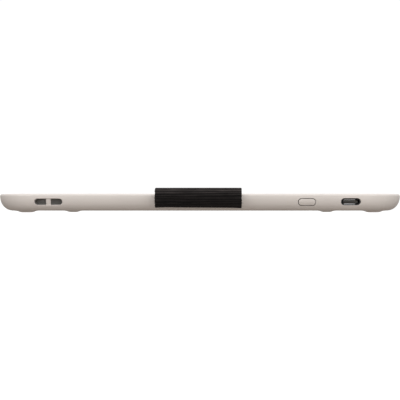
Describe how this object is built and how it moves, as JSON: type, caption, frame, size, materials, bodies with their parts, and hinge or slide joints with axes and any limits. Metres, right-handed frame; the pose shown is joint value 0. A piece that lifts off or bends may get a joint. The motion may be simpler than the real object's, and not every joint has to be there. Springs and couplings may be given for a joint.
{
  "type": "e-reader",
  "caption": "Thin tablet-shaped e-reader with rounded sides, domed feet, an elastic pen loop, a strap slot, a pill-shaped button and a USB-C port on one short edge.",
  "frame": {"origin": "centre of the whole object's footprint, pen loop included, on the plane that the feet rest on", "axes": "+X across the short edge, +Y along the long edge away from the edge with the controls, +Z out of the screen"},
  "size_m": [0.189, 0.2516, 0.0112],
  "materials": {
    "case_plastic": "fine spark-eroded texture, satin, warm ivory grey",
    "pocket_plastic": "moulded, matt, mid grey",
    "foot_rubber": "soft matt silicone in the colour of the case",
    "elastic": "black ribbed elastic tape",
    "dark_plastic": "moulded, matt",
    "steel": "stamped and plated, satin",
    "dark_nickel": "black nickel plated, satin",
    "light_alloy": "pressed sheet, satin",
    "contacts": "gold plated",
    "lens_glass": "etched, anti-glare",
    "border_ink": "printed border in the colour of the case",
    "adhesive": "black foam tape",
    "white_tape": "white pull tape",
    "clear_film": "clear",
    "epaper": "light grey, finely grained",
    "display_glass": "thin coated glass",
    "board": "solder mask",
    "connector": "moulded",
    "flex": "polyimide film",
    "lamps": "lamp strip",
    "passives": "chip coils and capacitors",
    "thermal": "soft gap pad",
    "coax": "thin jacket",
    "lead": "insulated wire",
    "cell_foil": "laminated pouch foil"
  },
  "bodies": {
    "housing": {"back_cover": "case_plastic", "front_frame": "case_plastic", "midframe": "light_alloy", "foot_front_left": "foot_rubber", "foot_front_right": "foot_rubber", "foot_rear_left": "foot_rubber", "foot_rear_right": "foot_rubber", "pen_loop": "elastic", "loop_clamp": "steel", "loop_screws": "steel", "strap_anchor": "pocket_plastic", "strap_bar": "case_plastic", "power_switch": "dark_plastic", "usb_shell": "dark_nickel", "usb_tongue": "dark_plastic", "usb_contacts": "contacts", "usb_ground_plates": "steel", "io_board": "board", "io_connector": "connector", "io_flex": "flex", "cover_lens": "lens_glass", "lens_border": "border_ink", "lens_gasket": "adhesive", "optical_bond": "clear_film", "touch_sensor": "clear_film", "light_guide": "clear_film", "light_bar": "lamps", "epaper_film": "epaper", "epaper_backplane": "display_glass", "display_drivers": "dark_plastic", "pen_digitizer": "board", "digitizer_shield": "steel", "display_tape": "adhesive", "display_flex": "flex", "touch_flex": "flex", "digitizer_flex": "flex", "light_flex": "flex", "main_board": "board", "processor": "dark_plastic", "memory_chips": "dark_plastic", "power_chip": "dark_plastic", "board_passives": "passives", "flex_connectors": "connector", "shield_can": "steel", "thermal_pad": "thermal", "wireless_module": "steel", "antenna": "flex", "antenna_cable": "coax", "cover_sensor": "dark_plastic", "battery_cells": "cell_foil", "battery_tape": "white_tape", "battery_board": "board", "battery_lead": "lead", "midframe_screws": "steel", "board_screws": "steel"},
    "button": {"power_button": "case_plastic", "switch_plunger": "dark_plastic"}
  },
  "joints": [
    {"name": "power_button_press", "type": "slide", "parent": "housing", "child": "button", "axis": [0, 1, 0], "range_m": [0, 0.00025], "stiffness_N_per_m": 3000, "springref_m": -0.0003}
  ]
}
